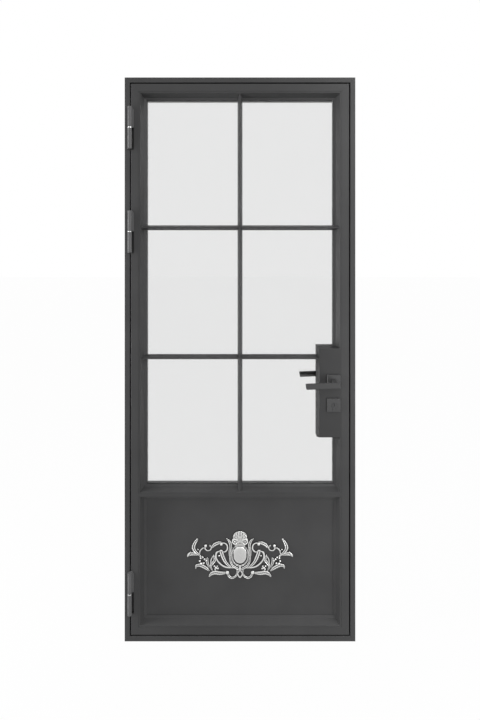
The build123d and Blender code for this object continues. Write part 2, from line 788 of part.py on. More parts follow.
# Hinges: a barrel on the frame below, a barrel on the leaf above, a washer between
with BuildPart() as hinge_pins:
    for split_z in HINGE_ZS:
        with Locations((HINGE_X, HINGE_Y, split_z + (PIN_UP - PIN_DOWN) / 2)):
            Cylinder(PIN_R, PIN_UP + PIN_DOWN)
keep(hinge_pins, "hinge_pins")
with BuildPart() as hinge_washers:
    for split_z in HINGE_ZS:
        with Locations((HINGE_X, HINGE_Y, split_z)):
            Cylinder(BARREL_R, WASHER_T)
            Cylinder(PIN_R, WASHER_T, mode=Mode.SUBTRACT)
keep(hinge_washers, "hinge_washers")
for level, split_z in zip(("bottom", "middle", "top"), HINGE_ZS):
    frame_top = split_z - WASHER_T / 2
    leaf_low = split_z + WASHER_T / 2
    leaf_top = leaf_low + BARREL_H
    with BuildPart() as frame_barrel:
        with Locations((HINGE_X, HINGE_Y, frame_top - BARREL_H / 2)):
            Cylinder(BARREL_R, BARREL_H)
        wing_z0 = frame_top - BARREL_H
        block(HINGE_X - FRAME_WING_W, HINGE_X, HINGE_Y, Y_FRONT, wing_z0, frame_top, Mode.ADD)
        with Locations((HINGE_X, HINGE_Y, (split_z - PIN_DOWN + frame_top) / 2)):
            Cylinder(PIN_R, frame_top - split_z + PIN_DOWN, mode=Mode.SUBTRACT)
    keep(frame_barrel, f"hinge_{level}_frame_barrel")
    with BuildPart() as leaf_barrel:
        with Locations((HINGE_X, HINGE_Y, leaf_low + BARREL_H / 2)):
            Cylinder(BARREL_R, BARREL_H)
        with BuildSketch(facing(Y_FRONT)) as wing:
            with BuildLine():
                Polyline(
                    (HINGE_X, leaf_low),
                    (notch_x1, leaf_low),
                    (notch_x1, leaf_top - WING_CUT),
                    (HINGE_X + BARREL_R, leaf_top),
                    (HINGE_X, leaf_top),
                    close=True,
                )
            make_face()
        extrude(amount=WING_T)
        web_x = -X_LEAF + NOTCH_CLEAR
        block(HINGE_X, web_x, HINGE_Y, Y_FRONT, leaf_low, leaf_top, Mode.ADD)
        pin_top = split_z + PIN_UP + PIN_FIT
        with Locations((HINGE_X, HINGE_Y, (leaf_low + pin_top) / 2)):
            Cylinder(PIN_R + PIN_FIT, pin_top - leaf_low, mode=Mode.SUBTRACT)
    keep(leaf_barrel, f"hinge_{level}_leaf_barrel")

# Mortice lock: a flat case through the stile and the box, closed by its faceplate
case_y0 = Y_LEAF_MID - CASE_T / 2
case_y1 = Y_LEAF_MID + CASE_T / 2
case_in = (case_y0 + CASE_WALL, case_y1 - CASE_WALL)


def bolt_window(x0, x1, z, clearance):
    """Cut the way of a bolt head through a wall of the piece being built."""
    half = BOLT_T / 2 + clearance
    tall = BOLT_H / 2 + clearance
    block(x0, x1, Y_LEAF_MID - half, Y_LEAF_MID + half, z - tall, z + tall)


with BuildPart() as lock_case:
    block(CASE_X0, CASE_X1, case_y0, case_y1, CASE_Z0, CASE_Z1, Mode.ADD)
    block(
        CASE_X0 + CASE_WALL, CASE_X1 - CASE_WALL, *case_in,
        CASE_Z0 + CASE_WALL, CASE_Z1 - CASE_WALL,
    )
    round_along_y(SPINDLE_X, SPINDLE_Z, case_y0 - OVER, case_y1 + OVER, FOLLOWER_HUB_R + TURN_FIT)
    cylinder_hole(case_y0 - OVER, case_y1 + OVER, BOLT_FIT)
    for z in bolt_zs:
        bolt_window(CASE_X1 - CASE_WALL - OVER, CASE_X1 + OVER, z, BOLT_FIT)
keep(lock_case, "lock_case")

window_half = BOLT_H / 2 + BOLT_FIT
faceplate_windows = [
    (BOLT_T / 2 + BOLT_FIT, z - window_half, z + window_half) for z in bolt_zs
]
faceplate_places = plate_screws(X_LEAF, PLATE_Z0, PLATE_Z1, -1)
keep(end_plate(CASE_X1, PLATE_Z0, PLATE_Z1, faceplate_windows, faceplate_places), "lock_faceplate")
keep(screw_group(faceplate_places), "faceplate_screws")


def bolt(z, bevelled):
    """A bolt drawn back into the case: a head, bevelled on a latch, and a thinner tail."""
    x1 = X_LEAF - BOLT_FIT
    x0 = x1 - BOLT_L
    head_ys = (Y_LEAF_MID - BOLT_T / 2, Y_LEAF_MID + BOLT_T / 2)
    tail_ys = (Y_LEAF_MID - TAIL_T / 2, Y_LEAF_MID + TAIL_T / 2)
    with BuildPart() as head:
        block(x0, x1, *head_ys, z - BOLT_H / 2, z + BOLT_H / 2, Mode.ADD)
        if bevelled:
            nose = head.edges().filter_by(Axis.Z).group_by(Axis.X)[-1].sort_by(Axis.Y)[-1]
            chamfer(nose, BOLT_T - LATCH_NOSE, LATCH_THROW - LATCH_NOSE)
        block(x0 - TAIL_L, x0, *tail_ys, z - TAIL_H / 2, z + TAIL_H / 2, Mode.ADD)
    return head


keep(bolt(LATCH_Z, True), "latch_bolt")
keep(bolt(DEADBOLT_Z, False), "deadbolt")


def square_bar(y0, y1, mode):
    """Add or cut the spindle's square bar."""
    half = SPINDLE_W / 2
    block(
        SPINDLE_X - half, SPINDLE_X + half, y0, y1, SPINDLE_Z - half, SPINDLE_Z + half, mode
    )


# Follower that the spindle turns
with BuildPart() as follower:
    round_along_y(SPINDLE_X, SPINDLE_Z, case_y0, case_y1, FOLLOWER_HUB_R, Mode.ADD)
    collar_ys = (case_in[0] + TURN_FIT, case_in[1] - TURN_FIT)
    round_along_y(SPINDLE_X, SPINDLE_Z, *collar_ys, FOLLOWER_R, Mode.ADD)
    square_bar(case_y0 - OVER, case_y1 + OVER, Mode.SUBTRACT)
keep(follower, "follower")

# Roses and escutcheons, front and back
MIRROR = Plane(origin=(0, Y_LEAF_MID, 0), x_dir=(1, 0, 0), z_dir=(0, -1, 0))


def square_plate(z):
    """A soft-edged square plate on the front of the lock box."""
    with BuildPart() as plate:
        with BuildSketch(facing(Y_FRONT)):
            with Locations((SPINDLE_X, z)):
                RectangleRounded(ROSE_W, ROSE_W, ROSE_R)
        extrude(amount=ROSE_T)
        chamfer(plate.faces().sort_by(Axis.Y)[0].edges(), ROSE_EDGE)
    return plate.part


with BuildPart() as rose_front:
    add(square_plate(SPINDLE_Z))
    round_along_y(SPINDLE_X, SPINDLE_Z, Y_FRONT - ROSE_T - OVER, Y_FRONT + OVER, NECK_R + TURN_FIT)
with BuildPart() as escutcheon_front:
    add(square_plate(CYLINDER_Z))
    cylinder_hole(Y_FRONT - ROSE_T - OVER, Y_FRONT + OVER, BOLT_FIT)

# Lever handles on an 8 mm square spindle
neck_y0 = Y_FRONT - LEVER_OUT + LEVER_T / 2
lever_plane = Plane(
    origin=(SPINDLE_X, neck_y0, SPINDLE_Z),
    x_dir=(cos(LEVER_DROOP * pi / 180), 0, sin(LEVER_DROOP * pi / 180)),
    z_dir=(0, -1, 0),
)
with BuildPart() as lever_front:
    with BuildSketch(lever_plane):
        with BuildLine():
            Polyline(
                (-LEVER_REACH, LEVER_H / 2),
                (-LEVER_REACH + LEVER_END_CUT, -LEVER_H / 2),
                (LEVER_HEEL + LEVER_HEEL_CUT / 2, -LEVER_H / 2),
                (LEVER_HEEL - LEVER_HEEL_CUT / 2, LEVER_H / 2),
                close=True,
            )
        make_face()
    extrude(amount=LEVER_T)
    chamfer(lever_front.edges(), LEVER_EDGE)
    neck_ys = (neck_y0 - LEVER_T / 2, Y_FRONT - TURN_FIT)
    round_along_y(SPINDLE_X, SPINDLE_Z, *neck_ys, NECK_R, Mode.ADD)
    square_bar(neck_y0, Y_FRONT, Mode.SUBTRACT)
with BuildPart() as spindle:
    square_bar(neck_y0, 2 * Y_LEAF_MID - neck_y0, Mode.ADD)
keep(spindle, "spindle")
furniture = ((rose_front, "rose"), (escutcheon_front, "escutcheon"), (lever_front, "lever"))
for piece, name in furniture:
    keep(piece, f"{name}_front")
    with BuildPart() as mirrored:
        mirror(piece.part, about=MIRROR)
    keep(mirrored, f"{name}_back")

# Profile cylinder: a body with a plug from each side and a cam between them
cyl_y0 = Y_FRONT - CYL_PROUD
cyl_y1 = Y_LEAF_BACK + CYL_PROUD
cam_y0 = Y_LEAF_MID - CAM_T / 2 - CAM_GAP
cam_y1 = Y_LEAF_MID + CAM_T / 2 + CAM_GAP
with BuildPart() as cylinder_body:
    extrude(euro_profile(facing(cyl_y0), 0.0), amount=-(cyl_y1 - cyl_y0))
    round_along_y(SPINDLE_X, CYLINDER_Z, cyl_y0 - OVER, cyl_y1 + OVER, PLUG_R + PLUG_FIT)
    round_along_y(SPINDLE_X, CYLINDER_Z, cam_y0, cam_y1, CAM_ROOM_R)
keep(cylinder_body, "cylinder_body")


def keyway(y0, y1):
    """Cut the key slot into the plug being built."""
    block(
        SPINDLE_X - KEYWAY_W / 2, SPINDLE_X + KEYWAY_W / 2, y0, y1,
        CYLINDER_Z - KEYWAY_H / 2, CYLINDER_Z + KEYWAY_H / 2,
    )


with BuildPart() as plug_front:
    round_along_y(SPINDLE_X, CYLINDER_Z, cyl_y0, Y_LEAF_MID + CAM_T / 2, PLUG_R, Mode.ADD)
    with BuildSketch(facing(Y_LEAF_MID + CAM_T / 2)):
        with Locations((SPINDLE_X, CYLINDER_Z)):
            Circle(PLUG_R)
        with Locations((SPINDLE_X, CYLINDER_Z + CAM_TIP / 2)):
            Rectangle(CAM_W, CAM_TIP)
    extrude(amount=CAM_T)
    keyway(cyl_y0 - OVER, cyl_y0 + KEYWAY_D)
keep(plug_front, "cylinder_plug_front")
with BuildPart() as plug_back:
    round_along_y(SPINDLE_X, CYLINDER_Z, Y_LEAF_MID + CAM_T / 2, cyl_y1, PLUG_R, Mode.ADD)
    keyway(cyl_y1 - KEYWAY_D, cyl_y1 + OVER)
keep(plug_back, "cylinder_plug_back")


# Cast ornament: scrolls and leaves as tapering strokes, drawn for the left half from
# the shield's centre; each has points on its middle line and half widths along it
SCROLLS = {
    "outer frame": (
        ((-33, 31), (-37, 9), (-39, -15), (-33, -36), (-19, -49), (0, -58)),
        (1.6, 2.4, 3.2, 3.6),
    ),
    "inner frame": (
        ((-19, 36), (-29, 17), (-32, 0), (-29, -20), (-17, -36), (-1, -43)),
        (1.4, 2.0, 2.2, 3.0),
    ),
    "centre drop": (((0, -42), (0, -51), (0, -62)), (2.5, 3.2, 2.0)),
    "side leaf": (
        ((-53, 64), (-43, 55), (-37, 38), (-41, 16), (-40, -6), (-36, -24)),
        (1.2, 4.2, 2.6, 2.8, 1.4),
    ),
    "scroll": (
        ((-76, 42), (-64, 48), (-52, 40), (-50, 24), (-60, 13), (-73, 15)),
        (2.4, 2.0, 2.6, 2.4, 1.6),
    ),
    "acanthus": (
        ((-71, 49), (-86, 48), (-101, 41), (-111, 31), (-120, 38)),
        (2.0, 4.6, 5.0, 3.0, 1.6),
    ),
    "small scroll": (
        ((-112, 30), (-118, 20), (-130, 18), (-138, 26), (-136, 36)),
        (2.2, 1.8, 2.4, 3.0),
    ),
    "arc": (((-134, 30), (-147, 27), (-157, 17), (-160, 1)), (1.6, 2.2, 1.4)),
    "tall leaf": (
        ((-159, 0), (-174, 10), (-184, 28), (-179, 46), (-168, 63)),
        (1.6, 4.2, 5.2, 4.4, 1.6),
    ),
    "trumpet": (((-158, -1), (-177, 3), (-192, 6), (-206, 2)), (1.4, 3.2, 5.8, 6.4)),
    "strip leaf": (((-129, -14), (-129, -30), (-122, -50)), (2.8, 4.2, 1.8)),
    "low leaf": (
        ((-121, -62), (-138, -49), (-157, -40), (-172, -42), (-175, -52)),
        (1.4, 4.6, 5.4, 4.4, 1.6),
    ),
    "flame": (
        ((-105, 0), (-99, -18), (-108, -32), (-116, -44), (-110, -61)),
        (1.2, 4.0, 3.8, 3.0, 1.4),
    ),
    "flame back": (((-104, -1), (-114, -18), (-116, -44)), (1.0, 2.2, 1.4)),
    "wing edge": (
        ((-76, 18), (-92, 10), (-95, -8), (-86, -26), (-68, -42), (-48, -49), (-22, -50)),
        (1.6, 3.2, 2.8, 2.6, 3.0, 2.4, 1.4),
    ),
    "wing inner": (
        ((-75, 15), (-67, -8), (-56, -29), (-38, -47), (-26, -51)),
        (4.4, 5.0, 3.4, 1.6),
    ),
    "foot leaf": (
        ((-121, -83), (-112, -73), (-98, -69), (-80, -71), (-54, -70)),
        (2.4, 5.6, 6.0, 5.2, 2.4),
    ),
    "foot scroll": (
        ((-48, -72), (-43, -84), (-31, -90), (-18, -84), (-11, -72), (-13, -55)),
        (2.6, 3.4, 2.8, 2.2, 1.6),
    ),
    "foot stem": (((0, -60), (-9, -72), (-6, -82), (0, -88)), (2.0, 2.2, 2.6)),
    "berry twig": (
        ((-160, 1), (-157, -4), (-147, -9), (-140, -17), (-132, -23)),
        (1.3, 1.3),
    ),
    "low berry twig": (
        ((-157, -4), (-156, -13), (-159, -24), (-154, -33), (-144, -32)),
        (1.3, 1.3),
    ),
    "curl bead twig": (((-166, 22), (-162, 17), (-158, 12)), (1.2, 1.2)),
    "fan twig": (((-90, -44), (-94, -51), (-98, -56), (-99, -68)), (1.3, 1.3)),
    "side fan twig": (((-101, -44), (-99, -50), (-96, -54)), (1.3, 1.3)),
    "wing bead twig": (((-83, -3), (-78, 0), (-72, 1)), (1.2, 1.2)),
}
# Balls and berries: centre and radius
BERRIES = (
    (-74, 43, 5.5), (-136, 37, 5.5), (-166, 22, 3.0), (-50, -69, 7.0), (-12, -39, 4.0),
    (-157, -4, 3.6), (-147, -9, 3.8), (-140, -17, 3.8), (-156, -13, 3.6), (-159, -24, 3.8),
    (-154, -34, 4.4), (-144, -32, 4.2), (-134, -23, 3.6), (-101, -44, 3.8), (-94, -51, 4.0),
    (-90, -44, 3.6), (-98, -56, 3.6), (-88, -53, 3.8), (-83, -3, 3.4),
)
SHELL = (0, 69, 29.0, 27.0)
VOLUTE = (-20, 52, 11.0, 4.5)
NECK = (0, 37, 40.0, 13.0)
STROKE_STEPS = 6
STROKE_FULLNESS = 1.25
BERRY_SIDES = 8
# How high the domes stand over the casting, and how wide they still are there
BOSS_STEPS = ((0.0, 0.9), (1.8, 0.72), (3.0, 0.4))


def stroke(points, widths):
    """A tapering stroke of straight runs along a curve through the given points."""
    with BuildLine():
        curve = Spline(*points)
    left, right = [], []
    last = len(widths) - 1
    for step in range(STROKE_STEPS + 1):
        t = step / STROKE_STEPS
        low = min(int(t * last), last - 1)
        half = widths[low] + (widths[low + 1] - widths[low]) * (t * last - low)
        half *= STROKE_FULLNESS
        spot, along = curve @ t, curve % t
        across = Vector(-along.Y, along.X, 0) * half
        left.append(spot + across)
        right.append(spot - across)
    with BuildSketch() as shape:
        with BuildLine():
            Polyline(*left, *reversed(right), close=True)
        make_face()
    return shape.sketch


# The casting's outline, then domed bosses on its shell and its shield
y_cast = y_sheet - ORNAMENT_T
with BuildPart() as ornament:
    with BuildSketch(facing(y_sheet)):
        with Locations((0, ORNAMENT_Z)):
            for points, widths in SCROLLS.values():
                add(stroke(points, widths))
            for x, z, radius in BERRIES:
                with Locations((x, z)):
                    RegularPolygon(radius, BERRY_SIDES)
            x, z, outer, inner = VOLUTE
            with Locations((x, z)):
                Circle(outer)
                Circle(inner, mode=Mode.SUBTRACT)
        mirror(about=Plane.YZ)
        with Locations((0, ORNAMENT_Z)):
            x, z, shell_w, shell_h = SHELL
            with Locations((x, z)):
                Ellipse(shell_w, shell_h)
            x, z, width, height = NECK
            with Locations((x, z)):
                Rectangle(width, height)
            Ellipse(SHIELD_RX, SHIELD_RZ)
    extrude(amount=ORNAMENT_T)
    for z, half_w, half_h in ((SHELL[1], shell_w, shell_h), (0, SHIELD_RX, SHIELD_RZ)):
        dome = []
        for rise, share in BOSS_STEPS:
            with BuildSketch(facing(y_cast - rise)) as level:
                with Locations((0, ORNAMENT_Z + z)):
                    Ellipse(half_w * share, half_h * share)
            dome.append(level.sketch)
        loft(dome, ruled=True)
keep(ornament, "ornament")
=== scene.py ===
import json
import math

import bpy
import numpy as np
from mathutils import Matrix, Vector


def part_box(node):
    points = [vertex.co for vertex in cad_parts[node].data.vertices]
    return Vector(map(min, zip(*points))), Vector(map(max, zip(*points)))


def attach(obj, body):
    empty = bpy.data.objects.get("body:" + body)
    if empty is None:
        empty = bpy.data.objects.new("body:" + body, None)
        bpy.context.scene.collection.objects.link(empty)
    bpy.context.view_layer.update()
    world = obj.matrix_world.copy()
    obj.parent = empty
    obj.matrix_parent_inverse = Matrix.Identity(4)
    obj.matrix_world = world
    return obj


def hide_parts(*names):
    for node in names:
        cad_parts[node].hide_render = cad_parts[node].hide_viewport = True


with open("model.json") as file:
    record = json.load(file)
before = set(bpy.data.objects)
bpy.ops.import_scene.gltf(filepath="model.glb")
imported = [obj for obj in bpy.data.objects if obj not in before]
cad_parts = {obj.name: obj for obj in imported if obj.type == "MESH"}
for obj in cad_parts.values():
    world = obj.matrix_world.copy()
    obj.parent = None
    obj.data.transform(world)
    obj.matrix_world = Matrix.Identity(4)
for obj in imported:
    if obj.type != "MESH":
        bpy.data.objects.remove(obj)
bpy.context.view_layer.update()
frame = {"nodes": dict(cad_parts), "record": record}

MM = 0.001

# The photograph's view: a level camera in front of the door, with a lowered frame
CAMERA_DISTANCE = 1.65
CAMERA_HEIGHT = 1.4996
CAMERA_REACH = 100.0
LENS = 21.16
SENSOR = 36.0
IMAGE_DROP = -0.1431

# The floor: its side in metres, its tone, and the share of it that glows white to the eye
FLOOR_SIZE = 60.0
FLOOR_TONE = 0.1
FLOOR_ROUGHNESS = 0.9
FLOOR_SPECULAR = 0.1
FLOOR_GLOW = 0.9
GLOW_STRENGTH = 1.085
# The light that the white room gives to everything
WORLD_STRENGTH = 0.55

# Lamps: place, aim, width and height in metres, and power in watts
LAMPS = {
    "left edge": ((-2.2, -0.5, 1.6), (0, 0, 1.2), (0.6, 2.4), 54),
    "left edge low": ((-2.2, -0.3, 0.6), (0, 0, 0.5), (0.4, 1.0), 25),
    "right edge high": ((1.6, -0.5, 2.8), (0, 0, 1.4), (0.6, 1.2), 18),
    "right near low": ((1.25, -0.95, 0.5), (0.4, 0, 0.3), (0.25, 0.9), 9),
    "front right": ((1.5, -3.2, 2.8), (0.2, 0, 1.3), (0.8, 2.4), 46),
    "front right low": ((1.7, -3.0, 0.5), (0.3, 0, 0.4), (0.8, 1.0), 16),
    "front far": ((0.0, -12.0, 1.1), (0, 0, 1.1), (3.0, 3.0), 400),
}
# Lamps further in front of the door than this leave no mirror image in the panes
FAR_LAMP = 5.0

# Dark grey powder coat, and how unevenly its gloss lies
ANTHRACITE = (0.041, 0.041, 0.0415)
PAINT_SPECULAR = 0.14
GLOSS_SPREAD = 0.08
# Glass as the camera sees it, and as its shadow falls
GLASS_COLOR = (0.888, 0.889, 0.889, 1.0)
GLASS_IOR = 1.45
GLASS_SHADOW = (0.92, 0.93, 0.93, 1.0)
# How much of the silver's tone is chance
SILVER_MOTTLE = 0.14

# Cast ornament: drawn for its left half in millimetres from the shield's centre.
# A stroke has its middle line, half widths along it, height and groove depth.
STROKES = {
    "outer frame": (
        ((-33, 31), (-37, 9), (-39, -15), (-33, -36), (-19, -49), (0, -58)),
        (1.6, 2.4, 3.2, 3.6), 4.6, 0.5,
    ),
    "inner frame": (
        ((-19, 36), (-29, 17), (-32, 0), (-29, -20), (-17, -36), (-1, -43)),
        (1.4, 2.0, 2.2, 3.0), 4.8, 0.2,
    ),
    "centre drop": (((0, -42), (0, -51), (0, -62)), (2.5, 3.2, 2.0), 5.6, 0.0),
    "side leaf": (
        ((-53, 64), (-43, 55), (-37, 38), (-41, 16), (-40, -6), (-36, -24)),
        (1.2, 4.2, 2.6, 2.8, 1.4), 4.4, 0.5,
    ),
    "scroll": (
        ((-76, 42), (-64, 48), (-52, 40), (-50, 24), (-60, 13), (-73, 15)),
        (2.4, 2.0, 2.6, 2.4, 1.6), 4.6, 0.0,
    ),
    "acanthus": (
        ((-71, 49), (-86, 48), (-101, 41), (-111, 31), (-120, 38)),
        (2.0, 4.6, 5.0, 3.0, 1.6), 4.8, 0.35,
    ),
    "small scroll": (
        ((-112, 30), (-118, 20), (-130, 18), (-138, 26), (-136, 36)),
        (2.2, 1.8, 2.4, 3.0), 4.4, 0.0,
    ),
    "arc": (((-134, 30), (-147, 27), (-157, 17), (-160, 1)), (1.6, 2.2, 1.4), 4.0, 0.0),
    "tall leaf": (
        ((-159, 0), (-174, 10), (-184, 28), (-179, 46), (-168, 63)),
        (1.6, 4.2, 5.2, 4.4, 1.6), 4.8, 0.6,
    ),
    "trumpet": (((-158, -1), (-177, 3), (-192, 5), (-205, 0)), (1.4, 3.0, 5.4, 4.0), 4.8, 0.3),
    "trumpet lip": (((-207, -5), (-203, 4), (-195, 13)), (1.6, 3.0, 1.2), 5.4, 0.0),
    "strip leaf": (((-129, -14), (-129, -30), (-122, -50)), (2.8, 4.2, 1.8), 3.6, 0.4),
    "low leaf": (
        ((-121, -62), (-138, -49), (-157, -40), (-172, -42), (-175, -52)),
        (1.4, 4.6, 5.4, 4.4, 1.6), 5.2, 0.25,
    ),
    "flame": (
        ((-105, 0), (-99, -18), (-108, -32), (-116, -44), (-110, -61)),
        (1.2, 4.0, 3.8, 3.0, 1.4), 4.8, 0.6,
    ),
    "flame back": (((-104, -1), (-114, -18), (-116, -44)), (1.0, 2.2, 1.4), 4.2, 0.0),
    "wing edge": (
        ((-76, 18), (-92, 10), (-95, -8), (-86, -26), (-68, -42), (-48, -49), (-22, -50)),
        (1.6, 3.2, 2.8, 2.6, 3.0, 2.4, 1.4), 4.6, 0.0,
    ),
    "wing inner": (
        ((-75, 15), (-67, -8), (-56, -29), (-38, -47), (-26, -51)),
        (5.2, 5.4, 3.6, 1.8), 5.2, 0.4,
    ),
    "foot leaf": (
        ((-121, -83), (-112, -73), (-98, -69), (-80, -71), (-54, -70)),
        (2.4, 5.6, 6.0, 5.2, 2.4), 5.2, 0.2,
    ),
    "foot scroll": (
        ((-48, -72), (-43, -84), (-31, -90), (-18, -84), (-11, -72), (-13, -55)),
        (2.6, 3.4, 2.8, 2.2, 1.6), 4.6, 0.5,
    ),
    "foot stem": (((0, -60), (-9, -72), (-6, -82), (0, -88)), (2.0, 2.2, 2.6), 4.2, 0.0),
    "berry twig": (
        ((-160, 1), (-157, -4), (-147, -9), (-140, -17), (-132, -23)),
        (1.3, 1.3), 2.2, 0.0,
    ),
    "low berry twig": (
        ((-157, -4), (-156, -13), (-159, -24), (-154, -33), (-144, -32)),
        (1.3, 1.3), 2.2, 0.0,
    ),
    "curl bead twig": (((-166, 22), (-162, 17), (-158, 12)), (1.2, 1.2), 2.2, 0.0),
    "fan twig": (((-90, -44), (-94, -51), (-98, -56), (-99, -68)), (1.3, 1.3), 2.2, 0.0),
    "side fan twig": (((-101, -44), (-99, -50), (-96, -54)), (1.3, 1.3), 2.2, 0.0),
    "wing bead twig": (((-83, -3), (-78, 0), (-72, 1)), (1.2, 1.2), 2.2, 0.0),
    "brow": (
        ((-30, 50), (-28, 60), (-18, 63), (-8, 58), (-5, 48)),
        (2.0, 3.0, 2.6, 1.6), 5.6, 0.0,
    ),
}
STROKE_FULLNESS = 1.5
# A stroke stands this share of its height where it narrows to nothing
THIN_SHARE = 0.75
# A groove is this share of the half width; ripples run aslant over a leaf
GROOVE_SHARE = 0.3
LEAF_RIPPLE = 0.07
RIPPLE_LENGTH = 8.0
RIPPLE_SLANT = 0.7

# Balls and berries: centre, radius
BERRIES = (
    (-74, 43, 5.5), (-136, 37, 5.5), (-166, 22, 3.0), (-50, -69, 7.0), (-12, -39, 4.0),
    (-157, -4, 3.6), (-147, -9, 3.8), (-140, -17, 3.8), (-156, -13, 3.6), (-159, -24, 3.8),
    (-154, -34, 4.4), (-144, -32, 4.2), (-134, -23, 3.6), (-101, -44, 3.8), (-94, -51, 4.0),
    (-90, -44, 3.6), (-98, -56, 3.6), (-88, -53, 3.8), (-83, -3, 3.4), (0, 57, 2.6), (0, 49, 2.6),
)
BERRY_FULLNESS = 1.2
BERRY_FOOT = 0.35
BERRY_OVER = 1.2
BERRY_TOP = 5.6

# Pebbled shell: centre and radii; the pebbles start this far inside its rim
SHELL = (0, 69, 29.0, 27.0)
SHELL_RISE = 4.2
SHELL_RIM = 1.5
PEBBLE_PITCH = 4.6
PEBBLE_ROW = 0.87
PEBBLE_R = 2.7
PEBBLE_RISE = 1.3
PEBBLE_STRAY = 1.1

# Volute: centre, outer radius and the radius that its sunk ring runs along;
# the ring's edges are shares of that radius, and the eye fills the ring
VOLUTE = (-20, 52, 11.0, 4.5)
VOLUTE_RISE = 4.8
VOLUTE_FOOT = 0.9
RING_FLOOR = 1.6
RING_SHARES = (0.7, 1.5)
EYE_RISE = 5.0

# Ribbed neck between shell and shield: centre, width and height
NECK = (0, 37, 40.0, 13.0)
NECK_RISE = 4.2
NECK_RIB = 0.9
NECK_PITCH = 4.6

# Shield, squarer above its middle, in a sunk moat
SHIELD_RX = 27.0
SHIELD_RZ = 33.0
SHIELD_RISE = 8.0
SHIELD_FOOT = 0.6
SHIELD_POWER = 2.5
ROUND_POWER = 2.0
MOAT_W = 1.6
MOAT_FLOOR = 1.2

# The relief's grid: how far it reaches left, down and up, and its step
GRID_LEFT = 215
GRID_DOWN = 100
GRID_UP = 102
RELIEF_STEP = 0.9
# A form's edge stands this share of its height
RELIEF_WALL = 0.55
# The step along a stroke's middle line, and what counts as well outside every form
MIDDLE_STEP = 0.4
FAR_OUTSIDE = -10.0
# The least slope and the least share of metal that the relief is divided by
LEAST_SLOPE = 0.2
LEAST_METAL = 0.05

# How the silver brightens with height, and darkens in hollows this many millimetres deep,
# against the mean of this many cells round it
PATINA_BASE = 0.43
PATINA_RISE = 0.045
PATINA_TOP = 6.0
HOLLOW_DEPTH = 1.0
HOLLOW_REACH = 3


# Small helpers for node trees
def new_material(name):
    """A material, its node tree and its Principled shader."""
    material = bpy.data.materials.new(name)
    material.use_nodes = True
    tree = material.node_tree
    return material, tree, tree.nodes["Principled BSDF"]


def node(tree, kind, **values):
    """Add a node and set its inputs by name, or its properties where no input has the name."""
    made = tree.nodes.new(kind)
    for key, value in values.items():
        name = key.replace("_", " ")
        if name in made.inputs:
            made.inputs[name].default_value = value
        else:
            setattr(made, key, value)
    return made


def noise(tree, scale, detail=2.0):
    """Noise in the object's own metres."""
    place = node(tree, "ShaderNodeTexCoord")
    made = node(tree, "ShaderNodeTexNoise", Scale=scale, Detail=detail)
    tree.links.new(place.outputs["Object"], made.inputs["Vector"])
    return made.outputs["Fac"]


def ramp(tree, value, stops):
    """Turn a value into a colour through a list of (position, colour) stops."""
    made = node(tree, "ShaderNodeValToRGB")
    elements = made.color_ramp.elements
    while len(elements) < len(stops):
        elements.new(0.5)
    for element, (position, color) in zip(elements, stops):
        element.position = position
        element.color = (*color, 1.0)
    tree.links.new(value, made.inputs["Fac"])
    return made.outputs["Color"]


def mix_shaders(tree, factor, plain, other, output):
    """Send the plain shader to an output node, and the other one by the factor."""
    mix = node(tree, "ShaderNodeMixShader")
    tree.links.new(factor, mix.inputs["Fac"])
    tree.links.new(plain, mix.inputs[1])
    tree.links.new(other, mix.inputs[2])
    tree.links.new(mix.outputs["Shader"], tree.nodes[output].inputs["Surface"])


def grey(level):
    return (level, level, level)


def finish_surface(tree, shader, bump_source, strength, distance, edge_radius=0.0):
    """Fine bump over softly rounded edges."""
    bump = node(tree, "ShaderNodeBump", Strength=strength, Distance=distance)
    tree.links.new(bump_source, bump.inputs["Height"])
    if edge_radius:
        edge = node(tree, "ShaderNodeBevel", samples=4, Radius=edge_radius)
        tree.links.new(edge.outputs["Normal"], bump.inputs["Normal"])
    tree.links.new(bump.outputs["Normal"], shader.inputs["Normal"])


# Finishes
def paint(name, color, roughness=0.36, spread=0.08):
    """Satin powder coat: fine orange peel, and a faint unevenness of tone and gloss."""
    material, tree, shader = new_material(name)
    low = tuple(c * (1 - spread) for c in color)
    high = tuple(c * (1 + spread) for c in color)
    tone = ramp(tree, noise(tree, 7.0, 3.0), [(0.3, low), (0.7, high)])
    tree.links.new(tone, shader.inputs["Base Color"])
    dull, bright = grey(roughness * (1 + GLOSS_SPREAD)), grey(roughness * (1 - GLOSS_SPREAD))
    gloss = ramp(tree, noise(tree, 45.0, 4.0), [(0.3, bright), (0.7, dull)])
    tree.links.new(gloss, shader.inputs["Roughness"])
    shader.inputs["Specular IOR Level"].default_value = PAINT_SPECULAR
    peel = noise(tree, 900.0, 3.0)
    finish_surface(tree, shader, peel, strength=0.12, distance=0.0004, edge_radius=0.0008)
    return material


def metal(name, color, roughness):
    """Bare or plated metal with a faint grain."""
    material, tree, shader = new_material(name)
    low = tuple(c * 0.88 for c in color)
    tone = ramp(tree, noise(tree, 120.0, 4.0), [(0.3, low), (0.7, color)])
    tree.links.new(tone, shader.inputs["Base Color"])
    shader.inputs["Metallic"].default_value = 1.0
    shader.inputs["Roughness"].default_value = roughness
    grain = noise(tree, 1500.0, 3.0)
    finish_surface(tree, shader, grain, strength=0.15, distance=0.0002, edge_radius=0.0004)
    return material


def rubber(name, level):
    """Matt rubber with a fine skin."""
    material, tree, shader = new_material(name)
    tone = ramp(tree, noise(tree, 60.0), [(0.3, grey(level * 0.8)), (0.7, grey(level * 1.2))])
    tree.links.new(tone, shader.inputs["Base Color"])
    shader.inputs["Roughness"].default_value = 0.75
    finish_surface(tree, shader, noise(tree, 1200.0), strength=0.2, distance=0.0003)
    return material


